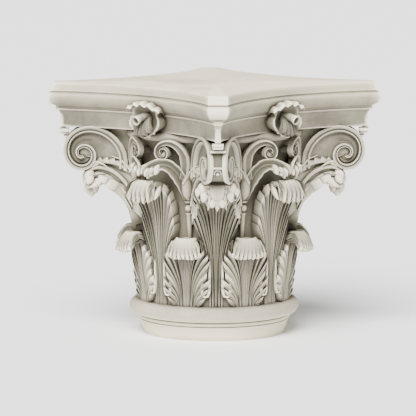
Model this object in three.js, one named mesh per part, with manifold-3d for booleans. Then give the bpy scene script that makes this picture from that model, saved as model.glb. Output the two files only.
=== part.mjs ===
// Corinthian capital, one casting: collar and astragal below, a bell dressed with two rings of
// acanthus leaves, stalks that open into corner volutes and inner scrolls, and a hollow-sided
// abacus with a flower at the middle of each side.
// Millimetres, +Z up, origin at the middle of the underside, the abacus sides across X and Y.

import * as THREE from 'three';
import { mergeVertices } from 'three/addons/utils/BufferGeometryUtils.js';
import Module from 'manifold-3d';

// Overall sizes
const HEIGHT = 485;
const CORNER_REACH = 309;
const HORN_WIDTH = 37;
const SIDE_REACH = 179;

// Turned foot: a tapered collar with a step, and the round moulding above it
const FOOT_RADIUS = 136;
const COLLAR_TOP_RADIUS = 147;
const COLLAR_HEIGHT = 37;
const COLLAR_STEP_HEIGHT = 28;
const STEP_DEPTH = 2;
const ASTRAGAL_HEIGHT = 30;
const ASTRAGAL_RADIUS = 164;

// Abacus mouldings, each named height measured down the side of the slab
const ABACUS_BAND_HEIGHT = 19;
const OVOLO_HEIGHT = 26;
const OVOLO_SWELL = 3;
const OVOLO_TIP = 10.8;
const FILLET_HEIGHT = 9;
const FILLET_SETBACK = 11.5;
const FILLET_TIP_WIDTH = 16;
const NECK_HEIGHT = 32;
const NECK_SETBACK = 17.5;
const NECK_TIP_WIDTH = 10;
const NECK_FLARE = 2;

// Bell
const BELL_RADIUS = 137;
const LIP_RADIUS = 172;
const LIP_HEIGHT = 17;
const LIP_SWELL = 12;

// Leaves: the shares of the bell that the two rings cover, how far the leaves stand off it, how far
// their tips reach, their half widths, and how far the sides of their crowns hang
const LOWER_SHARE = 0.385;
const UPPER_SHARE = 0.725;
const LEAF_RELIEF = 12;
const LEAF_THICKNESS = 8;
const LOWER_TIP_REACH = 52;
const LOWER_HALF_WIDTH = 48;
const LOWER_FOOT_HALF_WIDTH = 20;
const LOWER_TIP_LEAN = 12;
const LOWER_DROOP = 12;
const UPPER_HALF_WIDTH = 46;
const UPPER_FOOT_HALF_WIDTH = 16;
const FACE_TIP_REACH = 67;
const FACE_DROOP = 8;
const CORNER_DROOP = 6;

// Volutes and scrolls: the radius is that of the outermost turn at its outer side, and the drop is
// how far the eye lies under the abacus, as a share of that radius
const VOLUTE_REACH = 289;
const VOLUTE_RADIUS = 34.5;
const VOLUTE_DROP = 1.53;
const VOLUTE_TIP_HALF_WIDTH = 17.5;
const VOLUTE_FLARE = 0.26;
const VOLUTE_FIELD_DEPTH = 6;
const VOLUTE_RIBBON_WIDTH = 12;
const BAND_DEPTH = 4;
const HELIX_RADIUS = 16;
const HELIX_DROP = 1.15;
const HELIX_AZIMUTH = 34;
const HELIX_REACH = 187;
const HELIX_DEPTH = 42;
const HELIX_SINK = 0.25;
const HELIX_RIBBON_WIDTH = 9;

// Stalks between the leaves, the calyx over the bead, and the small leaf that it sends out: how far
// they stand off the bell, and how far along the bell the small leaf goes
const STALK_AZIMUTH = 20.3;
const STALK_RADIUS = 6;
const STALK_OUT = 5;
const BEAD_RADIUS = 8;
const CALYX_RADIUS = 13;
const CALYX_OUT = 20;
const LEAFLET_RADIUS = 9;
const LEAFLET_OUT = 53;
const LEAFLET_SPREAD = 46;

// Flowers
const FLOWER_HALF_WIDTH = 31;
const FLOWER_REACH = 24;
const PETAL_THICKNESS = 12;

// How finely round things are cut
const TURNED_SIDES = 24;
const SIDE_STEPS = 5;

const QUARTER = Math.PI / 2;
const DEGREE = Math.PI / 180;
const OVERLAP = 4;

const abacusHeight = ABACUS_BAND_HEIGHT + OVOLO_HEIGHT + FILLET_HEIGHT + NECK_HEIGHT;
const bellTop = HEIGHT - abacusHeight;
const leafFoot = COLLAR_HEIGHT + ASTRAGAL_HEIGHT;
const bellHeight = bellTop - leafFoot;
const leafFace = BELL_RADIUS + LEAF_RELIEF;
const lowerHeight = bellHeight * LOWER_SHARE;
const upperHeight = bellHeight * UPPER_SHARE;

const wasm = await Module();
wasm.setup();

// A closed triangle mesh as a solid, turned the right way out
function solid(geometry) {
  const bare = geometry.clone();
  bare.deleteAttribute('normal');
  bare.deleteAttribute('uv');
  const merged = mergeVertices(bare, 1e-3);
  const points = merged.getAttribute('position');
  const faces = [];
  const a = new THREE.Vector3();
  const b = new THREE.Vector3();
  const c = new THREE.Vector3();
  let volume = 0;
  for (let i = 0; i < merged.index.count; i += 3) {
    const [p, q, r] = [0, 1, 2].map((k) => merged.index.getX(i + k));
    if (p === q || q === r || r === p) continue;
    faces.push([p, q, r]);
    a.fromBufferAttribute(points, p);
    b.fromBufferAttribute(points, q);
    c.fromBufferAttribute(points, r);
    volume += a.dot(b.cross(c));
  }
  const outward = faces.map(([p, q, r]) => (volume > 0 ? [p, q, r] : [p, r, q]));
  return new wasm.Manifold(new wasm.Mesh({
    numProp: 3,
    vertProperties: new Float32Array(points.array),
    triVerts: new Uint32Array(outward.flat()),
  }));
}

function geometryOf(points, faces) {
  const geometry = new THREE.BufferGeometry();
  const flat = points.flatMap((p) => [p.x, p.y, p.z]);
  geometry.setAttribute('position', new THREE.Float32BufferAttribute(flat, 3));
  geometry.setIndex(faces.flat());
  return geometry;
}

// Closed rings of equal length, one after another, with a fan over each end
function loft(rings) {
  const count = rings[0].length;
  const points = rings.flat();
  const faces = [];
  for (let j = 0; j + 1 < rings.length; j += 1) {
    for (let i = 0; i < count; i += 1) {
      const [p, q] = [j * count + i, j * count + (i + 1) % count];
      faces.push([p, q, p + count], [q, q + count, p + count]);
    }
  }
  const ends = [[rings[0], 0, true], [rings.at(-1), points.length - count, false]];
  for (const [ring, start, reversed] of ends) {
    const middle = ring.reduce((sum, p) => sum.add(p), new THREE.Vector3()).divideScalar(count);
    const hub = points.push(middle) - 1;
    for (let i = 0; i < count; i += 1) {
      const [p, q] = [start + i, start + (i + 1) % count];
      faces.push(reversed ? [q, p, hub] : [p, q, hub]);
    }
  }
  return geometryOf(points, faces);
}

// A bent slab: a front and a back sheet over the same columns and rows, closed all round
function slab(columns, rows, front, back) {
  const width = columns.length;
  const points = [];
  for (const sheet of [front, back]) {
    for (const row of rows) {
      for (const column of columns) points.push(sheet(column, row));
    }
  }
  const depth = width * rows.length;
  const faces = [];
  const quad = (p, q, r, s) => faces.push([p, q, r], [p, r, s]);
  for (let j = 0; j + 1 < rows.length; j += 1) {
    for (let i = 0; i + 1 < width; i += 1) {
      const p = j * width + i;
      quad(p, p + 1, p + 1 + width, p + width);
      quad(depth + p, depth + p + width, depth + p + 1 + width, depth + p + 1);
    }
  }
  for (let i = 0; i + 1 < width; i += 1) {
    const top = (rows.length - 1) * width + i;
    quad(i + 1, i, depth + i, depth + i + 1);
    quad(top, top + 1, depth + top + 1, depth + top);
  }
  for (let j = 0; j + 1 < rows.length; j += 1) {
    const [left, right] = [j * width, j * width + width - 1];
    quad(left, left + width, depth + left + width, depth + left);
    quad(right + width, right, depth + right, depth + right + width);
  }
  return geometryOf(points, faces);
}

// A value read from a list of [position, value, ...] stations, straight between them
function between(stations, position, item = 1) {
  const next = Math.max(1, stations.findIndex((s) => s[0] >= position));
  const [low, high] = [stations[next - 1], stations[next]];
  const share = (position - low[0]) / (high[0] - low[0]);
  return low[item] + (high[item] - low[item]) * Math.min(1, Math.max(0, share));
}

const mirrored = (shares) => [...shares.slice(1).map((v) => -v).reverse(), ...shares];

const polar = (radius, azimuth, z) =>
  new THREE.Vector3(radius * Math.cos(azimuth), radius * Math.sin(azimuth), z);

// Plan of the abacus: four sides hollowed to one circle each, and four cut corners
const cornerAlong = (CORNER_REACH - HORN_WIDTH / 2) / Math.SQRT2;
const cornerAcross = (CORNER_REACH + HORN_WIDTH / 2) / Math.SQRT2;
const hollow = cornerAcross - SIDE_REACH;
const sideRadius = (cornerAlong ** 2 + hollow ** 2) / (2 * hollow);
const sideCentre = SIDE_REACH + sideRadius;

// Two lengths on a horn of the abacus, one from the other and either way round: how far along its
// diagonal its cut corner lies, and half the width of that cut
function hornLength(other, setback) {
  const centre = sideCentre / Math.SQRT2;
  return centre - Math.sqrt((sideRadius + setback) ** 2 - (centre - other) ** 2);
}

// The outline at one height: setback moves the sides in, and reach is that of the cut corners
function abacusOutline(setback, reach, z) {
  const radius = sideRadius + setback;
  const end = (reach - hornLength(reach, setback)) / Math.SQRT2;
  const points = [];
  for (let side = 0; side < 4; side += 1) {
    for (let i = 0; i <= SIDE_STEPS; i += 1) {
      const along = end * (2 * i / SIDE_STEPS - 1);
      const out = sideCentre - Math.sqrt(radius ** 2 - along ** 2);
      const place = new THREE.Vector3(out, along, z);
      points.push(place.applyAxisAngle(new THREE.Vector3(0, 0, 1), side * QUARTER));
    }
  }
  return points;
}

// The mouldings from the top down: a band, the ovolo, a fillet and the hollow neck
function abacus() {
  const bandFoot = HEIGHT - ABACUS_BAND_HEIGHT;
  const ovoloFoot = bandFoot - OVOLO_HEIGHT;
  const filletFoot = ovoloFoot - FILLET_HEIGHT;
  const neckReach = hornLength(NECK_TIP_WIDTH / 2, NECK_SETBACK);
  const filletReach = hornLength(FILLET_TIP_WIDTH / 2, FILLET_SETBACK);
  return solid(loft([
    abacusOutline(NECK_SETBACK, neckReach, bellTop),
    abacusOutline(NECK_SETBACK - NECK_FLARE, neckReach + NECK_FLARE, filletFoot),
    abacusOutline(FILLET_SETBACK, filletReach, filletFoot),
    abacusOutline(FILLET_SETBACK - NECK_FLARE / 2, filletReach, ovoloFoot),
    abacusOutline(OVOLO_SWELL * 1.5, CORNER_REACH - OVOLO_SWELL, ovoloFoot),
    abacusOutline(-OVOLO_SWELL, CORNER_REACH + OVOLO_TIP, ovoloFoot + OVOLO_HEIGHT * 0.45),
    abacusOutline(-OVOLO_SWELL * 0.7, CORNER_REACH + OVOLO_TIP * 0.8, bandFoot),
    abacusOutline(0, CORNER_REACH, HEIGHT),
  ]));
}

// The turned core: collar, astragal, bell and its lip, which runs up into the abacus
function core() {
  const astragalMiddle = COLLAR_HEIGHT + ASTRAGAL_HEIGHT / 2;
  const lipFoot = bellTop - LIP_HEIGHT;
  const taper = [[0, FOOT_RADIUS], [COLLAR_HEIGHT, COLLAR_TOP_RADIUS]];
  const profile = [
    [0, 0],
    [FOOT_RADIUS, 0],
    [between(taper, COLLAR_STEP_HEIGHT), COLLAR_STEP_HEIGHT],
    [COLLAR_TOP_RADIUS - STEP_DEPTH / 2, COLLAR_STEP_HEIGHT + STEP_DEPTH],
    [COLLAR_TOP_RADIUS, COLLAR_HEIGHT],
  ];
  const steps = 4;
  const astragalBack = COLLAR_TOP_RADIUS + STEP_DEPTH / 2;
  for (let i = 0; i <= steps; i += 1) {
    const turn = Math.PI * (i / steps - 0.5);
    profile.push([
      astragalBack + (ASTRAGAL_RADIUS - astragalBack) * Math.cos(turn),
      astragalMiddle + ASTRAGAL_HEIGHT / 2 * Math.sin(turn),
    ]);
  }
  profile.push(
    [BELL_RADIUS - LEAF_RELIEF, leafFoot],
    [BELL_RADIUS - LEAF_RELIEF, wallTop - OVERLAP],
    [BELL_RADIUS + OVERLAP / 4, wallTop + 2 * OVERLAP],
    [BELL_RADIUS + LIP_SWELL * 2 / 3, leafFoot + bellHeight * 0.75],
    [LIP_RADIUS - LIP_SWELL, lipFoot - LIP_SWELL * 0.4],
    [LIP_RADIUS, lipFoot],
    [LIP_RADIUS, bellTop - LIP_SWELL / 2],
    [LIP_RADIUS - LIP_SWELL * 2 / 3, bellTop + OVERLAP / 2],
    [0, bellTop + OVERLAP / 2],
  );
  const turned = new THREE.LatheGeometry(profile.map(([r, z]) => new THREE.Vector2(r, z)), TURNED_SIDES);
  turned.rotateX(QUARTER);
  return solid(turned);
}

// The wall of leaf stems: over each eighth of the turn it swells from the midrib of a lower leaf
// out to its side lobes, drops into the gap beside them and rises to the stem of an upper leaf.
// Each row is a share of the lower leaf's height and the relief at the angles above it.
const WALL_ANGLES = [0, 5, 12, 17.1, 22.5];
const WALL_RELIEF = [
  [-0.04, 0.9, 0.9, 0.9, 0.9, 0.9],
  [0.1, 1, 0.7, 0.9, 0.1, 0.9],
  [0.55, 0.6, 0.5, 0.6, 0.1, 0.9],
  [1.3, 0, 0, 0, 0.2, 0.5],
];
const wallTop = leafFoot + lowerHeight * WALL_RELIEF.at(-1)[0];

function leafWall() {
  const rings = WALL_RELIEF.map(([share, ...relief]) => {
    const z = leafFoot + lowerHeight * share;
    const ring = [];
    for (let eighth = 0; eighth < 8; eighth += 1) {
      const midrib = (eighth + 0.5) * QUARTER / 2;
      const half = WALL_ANGLES.map((angle, i) => [angle * DEGREE, relief[i]]);
      const left = half.slice(1).reverse().map(([angle, swell]) => [-angle, swell]);
      for (const [angle, swell] of [...left, ...half.slice(0, -1)]) {
        ring.push(polar(BELL_RADIUS + LEAF_RELIEF * swell, midrib + angle, z));
      }
    }
    return ring;
  });
  return solid(loft(rings));
}

// Where the outline of a leaf lies, for each vein from the midrib, 0, to the lowest side lobe, 1:
// half width and length as shares of the leaf's own. Odd stations after the crown are notches.
const UPPER_OUTLINE = [
  [0, 0, 1], [0.3, 0.86, 0.92], [0.43, 0.62, 0.80], [0.58, 1, 0.72], [1, 0.5, 0.4],
];
const LOWER_OUTLINE = [
  [0, 0, 1], [0.3, 0.77, 0.86], [0.45, 0.58, 0.63], [0.6, 0.97, 0.55], [1, 0.90, 0.16],
];
// How far each of those veins stands proud of the leaf, as a share of its relief
const VEIN_RELIEF = [
  [0, 0.25], [0.3, 0.1], [0.44, -0.4], [0.59, 0.3], [1, -0.1],
];
const LEAF_ROWS = [0.5, 0.72, 0.88, 1];

// A leaf above its stem is laid out flat as a fan of veins: each rises beside the midrib from the
// foot and then swings out to its place on the outline. The flat leaf is wrapped round the bell and
// bent along its spine, whose crown leans out and rolls over.
function leaf({ azimuth, spine, outline, halfWidth, footHalfWidth, lean, droop }) {
  const curve = new THREE.SplineCurve(spine.map(([out, rise]) => new THREE.Vector2(out, rise)));
  const length = curve.getLength();
  const place = (vein, t, side) => {
    const share = Math.abs(vein);
    const reach = between(outline, share, 2);
    const rise = reach * t;
    const foot = footHalfWidth * share;
    const across = foot + (halfWidth * between(outline, share, 1) - foot) * t ** 2.2;
    const at = curve.getPointAt(rise);
    const way = curve.getTangentAt(rise);
    const crown = Math.min(1, Math.max(0, rise - 0.55) / 0.3);
    const swell = LEAF_RELIEF * between(VEIN_RELIEF, share) * Math.min(1, 2 * t);
    const sunk = t > LEAF_ROWS[0] ? 0 : LEAF_RELIEF;
    const rooted = Math.max(0, 1 - crown) * LEAF_RELIEF * 1.5;
    const depth = side > 0 ? LEAF_THICKNESS / 2 + swell - sunk : -LEAF_THICKNESS / 2 - rooted;
    const radius = at.x + way.y * depth;
    const height = at.y - way.x * depth - droop * crown * (across / halfWidth) ** 2;
    const turn = azimuth + lean * rise ** 2 + Math.sign(vein) * across / at.x;
    return polar(radius, turn, height);
  };
  const columns = mirrored(outline.map(([vein]) => vein));
  return solid(slab(columns, LEAF_ROWS, (v, t) => place(v, t, 1), (v, t) => place(v, t, -1)));
}

// A spiral as its turns: degrees from the side that faces outwards, upwards first, and the
// radius there as a share of the outermost turn's
const VOLUTE_SPIRAL = [
  [-500, 0.2], [-450, 0.28], [-360, 0.38], [-270, 0.55], [-225, 0.68], [-180, 0.78], [-135, 0.87],
  [-90, 0.94], [-45, 0.95], [0, 1], [50, 1.22], [90, 1.52], [112, 1.68], [155, 2.15], [200, 2.85],
];
const HELIX_SPIRAL = [
  [-360, 0.25], [-270, 0.45], [-180, 0.88], [-90, 0.97], [0, 1], [85, 1.1], [126, 1.7], [157, 2.6],
  [180, 3.05], [205, 3.8],
];
const HORN_TURN = { first: 197, last: -145, steps: 7 };
const VOLUTE_TURNS = [200, 145, 105, 65, 25, -20, -70, -125, -190, -270, -380];
const HELIX_TURNS = [205, 140, 85, 20, -50, -120, -200];

const volute = {
  u: VOLUTE_REACH - VOLUTE_RADIUS,
  z: bellTop + OVERLAP / 4 - VOLUTE_DROP * VOLUTE_RADIUS,
  foot: 0.94 * VOLUTE_RADIUS,
};
const helixHeight = bellTop - LIP_HEIGHT - HELIX_DROP * HELIX_RADIUS;

function spiralPoint(spiral, degrees, unit, inset = 0) {
  const radius = between(spiral, degrees) * unit - inset;
  return [radius * Math.cos(degrees * DEGREE), radius * Math.sin(degrees * DEGREE)];
}

// The outer edge of a spiral from one angle back to another, in equal turns
function spiralEdge(spiral, { first, last, steps }, unit, inset) {
  const edge = [];
  for (let i = 0; i <= steps; i += 1) {
    edge.push(spiralPoint(spiral, first + (last - first) * i / steps, unit, inset));
  }
  return edge;
}

// A plate with the same outline on two faces, given as [across, up] pairs turning clockwise
function plate(outline, front, back) {
  const turned = [...outline].reverse();
  const count = turned.length;
  const lid = THREE.ShapeUtils.triangulateShape(turned.map(([x, y]) => new THREE.Vector2(x, y)), []);
  const faces = [];
  for (const [p, q, r] of lid) faces.push([p, q, r], [p + count, r + count, q + count]);
  for (let i = 0; i < count; i += 1) {
    const next = (i + 1) % count;
    faces.push([i, i + count, next], [next, i + count, next + count]);
  }
  return solid(geometryOf([...turned.map(front), ...turned.map(back)], faces));
}

// The raised ribbon that follows a spiral: a ridge that narrows towards the eye
function ribbon(spiral, turns, unit, widest, sunk, at) {
  const last = turns.at(-1);
  const rings = turns.map((degrees) => {
    const width = widest * (0.35 + 0.65 * (degrees - last) / (turns[0] - last));
    const section = [[0, sunk], [width / 3, 0], [width, sunk]];
    return section.map(([inset, inward]) => at(spiralPoint(spiral, degrees, unit, inset), inward));
  });
  return solid(loft(rings));
}

// The horn under a corner of the abacus: a block between two flaring faces, rooted in the bell, with
// the spiral as its outline and a ribbon on each face
function horn(corner) {
  const at = (side) => ([du, dz], inward) => {
    const u = volute.u + du;
    const half = VOLUTE_TIP_HALF_WIDTH + VOLUTE_FLARE * (VOLUTE_REACH - u) - inward;
    return polar(Math.hypot(u, half), corner + Math.atan2(side * half, u), volute.z + dz);
  };
  const outline = spiralEdge(VOLUTE_SPIRAL, HORN_TURN, VOLUTE_RADIUS, BAND_DEPTH);
  const rooted = BELL_RADIUS - OVERLAP - volute.u;
  outline.push([rooted / 2, -volute.foot / 2], [rooted, -1.5 * VOLUTE_RADIUS]);
  const [left, right] = [-1, 1].map((side) => (p) => at(side)(p, VOLUTE_FIELD_DEPTH));
  const block = plate(outline, left, right);
  const sunk = VOLUTE_FIELD_DEPTH * 1.5;
  const ribbons = [-1, 1].map((side) =>
    ribbon(VOLUTE_SPIRAL, VOLUTE_TURNS, VOLUTE_RADIUS, VOLUTE_RIBBON_WIDTH, sunk, at(side)));
  return ribbons.reduce((sum, piece) => sum.add(piece), block);
}

// The small scroll under the lip of the bell, on one side of a corner: a band that stands out
// from the bell all along its turns
function helix(corner, side) {
  const at = ([du, dz], inward) => {
    const radius = HELIX_REACH - inward - HELIX_SINK * Math.max(0, -du);
    const azimuth = corner + side * (HELIX_AZIMUTH * DEGREE + du / HELIX_REACH);
    return polar(radius, azimuth, helixHeight + dz);
  };
  return ribbon(HELIX_SPIRAL, HELIX_TURNS, HELIX_RADIUS, HELIX_RIBBON_WIDTH, HELIX_DEPTH, at);
}

// Rings of a few points round a path of [along, out, up, radius] stations beside a corner
function stem(corner, side, stations, sides) {
  const rings = stations.map(([along, out, up, radius, tilt = 0]) => {
    const ring = [];
    for (let i = 0; i < sides; i += 1) {
      const turn = i * 2 * Math.PI / sides;
      const [across, forward] = [radius * Math.cos(turn), radius * Math.sin(turn)];
      const reach = BELL_RADIUS + out + forward * Math.cos(tilt);
      const azimuth = corner + side * (STALK_AZIMUTH * DEGREE + (along + across * Math.cos(tilt)) / reach);
      ring.push(polar(reach, azimuth, up + (forward - across) * Math.sin(tilt)));
    }
    return side > 0 ? ring : ring.reverse();
  });
  return solid(loft(rings));
}

// The calyx and the small leaf as stations: shares of how far along the bell and off it they go, of
// the rise from the bead to the lip, and of their own radius, then the tilt of the section
const CALYX_PATH = [[0.02, 0.7, 0.27, 1, 0], [-0.04, 1, 0.5, 0.85, 0]];
const LEAFLET_PATH = [
  [0.04, 0.15, 0.15, 0.67, 0], [0.26, 0.49, 0.48, 0.89, 0.6], [0.7, 0.87, 0.63, 1, 1.3],
  [1, 1, 0.54, 0.78, 2],
];

// A stalk with its bead and the calyx above it, and the small leaf that the calyx sends out
// towards the middle of the side
function stalk(corner, side, lowerCrown) {
  const bead = lowerCrown + (bellTop - lowerCrown) * 0.30;
  const rise = bellTop - LIP_HEIGHT - bead;
  const stations = (path, out, radius) => path.map(([along, off, up, thick, tilt]) =>
    [LEAFLET_SPREAD * along, out * off, bead + rise * up, radius * thick, tilt]);
  const shaft = stem(corner, side, [
    [0, STALK_OUT / 2, lowerCrown - 2 * STALK_RADIUS, STALK_RADIUS / 2],
    [0, STALK_OUT, bead - BEAD_RADIUS, STALK_RADIUS],
    [0, STALK_RADIUS, bead, BEAD_RADIUS],
    [0, STALK_OUT, bead + BEAD_RADIUS, STALK_RADIUS],
    ...stations(CALYX_PATH, CALYX_OUT, CALYX_RADIUS),
  ], 4);
  return shaft.add(stem(corner, side, stations(LEAFLET_PATH, LEAFLET_OUT, LEAFLET_RADIUS), 4));
}

// The flower at the middle of a side: a cup of lower petals and a top petal that curls forward
function flower(side) {
  const turn = new THREE.Vector3(0, 0, 1);
  const middle = bellTop + NECK_HEIGHT * 0.75;
  const place = (out, across, up) =>
    new THREE.Vector3(SIDE_REACH + out, across, middle + up).applyAxisAngle(turn, side * QUARTER);
  const ring = (out, half, up) => [0, 1, 2, 3, 4, 5].map((i) => {
    const angle = i * Math.PI / 3;
    return place(out, half * Math.cos(angle), up + 0.9 * half * Math.sin(angle));
  });
  const cup = solid(loft([
    ring(-1.25 * FLOWER_REACH, FLOWER_HALF_WIDTH * 0.75, 0),
    ring(FLOWER_REACH / 6, FLOWER_HALF_WIDTH * 0.8, -FLOWER_REACH / 6),
    ring(FLOWER_REACH * 0.75, FLOWER_HALF_WIDTH * 0.25, -FLOWER_REACH / 12),
  ]));
  const root = 0.75 * FLOWER_REACH;
  const petal = (v, t, depth) => {
    const rise = FLOWER_REACH / 3 + root * Math.sin(t * QUARTER) + 0.87 * depth;
    const out = -root + (FLOWER_REACH + root) * t ** 1.5 - 0.5 * depth;
    return place(out, FLOWER_HALF_WIDTH * v * (0.6 + 0.4 * t), rise - FLOWER_REACH / 8 * v * v);
  };
  const columns = [-1, -0.4, 0.4, 1];
  const front = (v, t) => petal(v, t, 0);
  const back = (v, t) => petal(v, t, PETAL_THICKNESS);
  return cup.add(solid(slab(columns, [0, 0.6, 1], front, back)));
}

// Lower ring: eight leaves between the abacus axes, their tips leaning towards the corners
const pieces = [core(), leafWall(), abacus()];
const lowerSpine = [
  [0, -OVERLAP / lowerHeight], [0.02, 0.35], [0.06, 0.66], [0.20, 0.86], [0.42, 0.98],
  [0.70, 0.985], [0.94, 0.88], [1, 0.76], [0.97, 0.68],
].map(([out, rise]) => [leafFace + (LOWER_TIP_REACH - LEAF_RELIEF) * out, leafFoot + lowerHeight * rise]);

// Upper ring: four leaves under the flowers and four that carry the corner volutes
const faceSpine = [
  [0, -OVERLAP / upperHeight], [0.02, 0.5], [0.10, 0.70], [0.22, 0.82], [0.40, 0.93],
  [0.62, 0.985], [0.84, 0.98], [0.98, 0.92], [1, 0.87], [0.95, 0.84],
].map(([out, rise]) => [leafFace + (FACE_TIP_REACH - LEAF_RELIEF) * out, leafFoot + upperHeight * rise]);
const voluteFoot = volute.z - volute.foot;
const cornerHeight = voluteFoot - LEAF_THICKNESS - leafFoot;
const cornerSpine = [
  [0, -OVERLAP / cornerHeight], [0.01, 0.51], [0.05, 0.64], [0.13, 0.76], [0.30, 0.86],
  [0.53, 0.93], [0.73, 0.985], [0.90, 1], [0.985, 0.95], [0.98, 0.885], [0.86, 0.83],
].map(([out, rise]) => [leafFace + (volute.u - leafFace) * out, leafFoot + cornerHeight * rise]);

const upperLeaf = {
  outline: UPPER_OUTLINE, halfWidth: UPPER_HALF_WIDTH, footHalfWidth: UPPER_FOOT_HALF_WIDTH, lean: 0,
};
const lowerLeaf = {
  outline: LOWER_OUTLINE, halfWidth: LOWER_HALF_WIDTH, footHalfWidth: LOWER_FOOT_HALF_WIDTH,
};
const tipLean = LOWER_TIP_LEAN / (BELL_RADIUS + LOWER_TIP_REACH);
for (let quarter = 0; quarter < 4; quarter += 1) {
  const corner = (quarter + 0.5) * QUARTER;
  const face = quarter * QUARTER;
  pieces.push(leaf({ ...upperLeaf, azimuth: corner, spine: cornerSpine, droop: CORNER_DROOP }));
  pieces.push(leaf({ ...upperLeaf, azimuth: face, spine: faceSpine, droop: FACE_DROOP }));
  pieces.push(horn(corner), flower(quarter));
  for (const side of [-1, 1]) {
    pieces.push(helix(corner, side), stalk(corner, side, leafFoot + lowerHeight));
    const lower = { ...lowerLeaf, azimuth: corner + side * QUARTER / 4, spine: lowerSpine };
    pieces.push(leaf({ ...lower, lean: -side * tipLean, droop: LOWER_DROOP }));
  }
}

const whole = pieces.reduce((sum, piece) => sum.add(piece));
const mesh = whole.getMesh();
const geometry = new THREE.BufferGeometry();
geometry.setAttribute('position', new THREE.Float32BufferAttribute(mesh.vertProperties, 3));
geometry.setIndex(new THREE.Uint32BufferAttribute(mesh.triVerts, 1));
geometry.computeVertexNormals();

const stone = new THREE.MeshStandardMaterial({ color: 0xd9d3c4, roughness: 0.85, metalness: 0 });
const capital = new THREE.Mesh(geometry, stone);
capital.name = 'capital';

const group = new THREE.Group();
group.add(capital);
export default group;
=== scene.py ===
# %% [markdown]
# # A Corinthian capital in cast stone
#
# The head of a column: a turned collar, a bell dressed with two rings of acanthus leaves, stalks that
# open into corner volutes and small inner scrolls, and a hollow-sided abacus with a flower on each side.
# It is one casting, so it is one piece here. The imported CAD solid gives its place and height, and this
# script carves the same forms finer.

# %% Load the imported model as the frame
import math

import bmesh
import bpy
import numpy as np
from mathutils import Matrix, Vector


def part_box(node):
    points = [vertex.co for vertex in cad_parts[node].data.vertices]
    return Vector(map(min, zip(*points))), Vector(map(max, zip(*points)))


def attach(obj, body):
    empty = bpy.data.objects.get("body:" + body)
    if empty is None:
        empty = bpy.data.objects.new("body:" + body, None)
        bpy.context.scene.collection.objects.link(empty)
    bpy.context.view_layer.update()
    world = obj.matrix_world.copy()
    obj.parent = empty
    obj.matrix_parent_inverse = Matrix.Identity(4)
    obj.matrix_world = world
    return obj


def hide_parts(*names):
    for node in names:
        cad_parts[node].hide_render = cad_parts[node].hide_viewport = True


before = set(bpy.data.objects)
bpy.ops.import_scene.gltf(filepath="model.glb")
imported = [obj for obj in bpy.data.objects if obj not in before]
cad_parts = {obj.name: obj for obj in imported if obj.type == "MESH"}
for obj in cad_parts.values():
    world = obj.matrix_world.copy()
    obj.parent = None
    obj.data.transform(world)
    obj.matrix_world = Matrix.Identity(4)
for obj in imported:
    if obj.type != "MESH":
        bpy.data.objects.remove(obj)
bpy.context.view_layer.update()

foot_corner, top_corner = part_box("capital")
HEIGHT = 485.0
METRES = (top_corner[2] - foot_corner[2]) / HEIGHT
print("height of the solid in metres", round(HEIGHT * METRES, 4))

# %% [markdown]
# ## How the carving is made
#
# A caster would model one quarter in clay and mould it four times. A sculpting brush or a scan could give
# the same forms, but nobody could change them afterwards. So every form here is a grid of points worked
# out as one array: a function of two parameters, or a section carried along a path. All of them are
# written in millimetres beside one corner of the abacus, whose diagonal is the local +X, and are then
# copied round the axis. Each one is a closed shell with its faces turned outwards.

# %% Grids, curves and closed shells
DEGREE = math.pi / 180
QUARTER = math.pi / 2
shells = []


def cells(rows, columns, closed=False):
    """Four-cornered faces between neighbours of a grid; closed also joins the last column to the first."""
    index = np.arange(rows * columns).reshape(rows, columns)
    if closed:
        index = np.concatenate([index, index[:, :1]], axis=1)
    corners = [index[:-1, :-1], index[:-1, 1:], index[1:, 1:], index[1:, :-1]]
    return np.stack(corners, axis=-1).reshape(-1, 4)


def curve(knots):
    """A Catmull-Rom curve through the knots, as shares of its length and the places there."""
    knots = np.asarray(knots, float)
    padded = np.concatenate([knots[:1], knots, knots[-1:]])
    t = np.linspace(0, 1, 24, endpoint=False)[:, None]
    pieces = []
    for a, b, c, d in zip(padded, padded[1:], padded[2:], padded[3:]):
        bend = (2 * a - 5 * b + 4 * c - d) * t**2 + (3 * b - a - 3 * c + d) * t**3
        pieces.append(0.5 * (2 * b + (c - a) * t + bend))
    places = np.concatenate([*pieces, knots[-1:]])
    steps = np.linalg.norm(np.diff(places, axis=0), axis=1)
    lengths = np.concatenate([[0], np.cumsum(steps)])
    return lengths / lengths[-1], places


def along(line, share):
    """Places and unit directions at given shares of a curve's length."""
    shares, places = line

    def read(at):
        return np.stack([np.interp(at, shares, places[:, k]) for k in range(places.shape[1])], axis=-1)

    ahead = read(np.minimum(share + 0.004, 1)) - read(np.maximum(share - 0.004, 0))
    return read(share), ahead / np.linalg.norm(ahead, axis=-1, keepdims=True)


def ease(x, start, end):
    """0 before start, 1 after end, and a smooth rise between them."""
    t = np.clip((x - start) / (end - start), 0, 1)
    return t * t * (3 - 2 * t)


def polar(radius, azimuth, z):
    """Points from radius, azimuth and height, each a number or an array."""
    radius, azimuth, z = np.broadcast_arrays(radius, azimuth, z)
    return np.stack([radius * np.cos(azimuth), radius * np.sin(azimuth), z], axis=-1)


def outward(points, faces, sides):
    """Faces in the order that points out: the volume they enclose, summed as tetrahedra, is positive."""
    a, b, c, d = (points[faces[:, k]] for k in range(4))
    volume = np.sum(a * (np.cross(b, c) + np.cross(c, d)))
    return (faces, sides) if volume > 0 else (faces[:, ::-1], sides[:, ::-1])


NO_TRIANGLES = np.zeros((0, 3), int)


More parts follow.
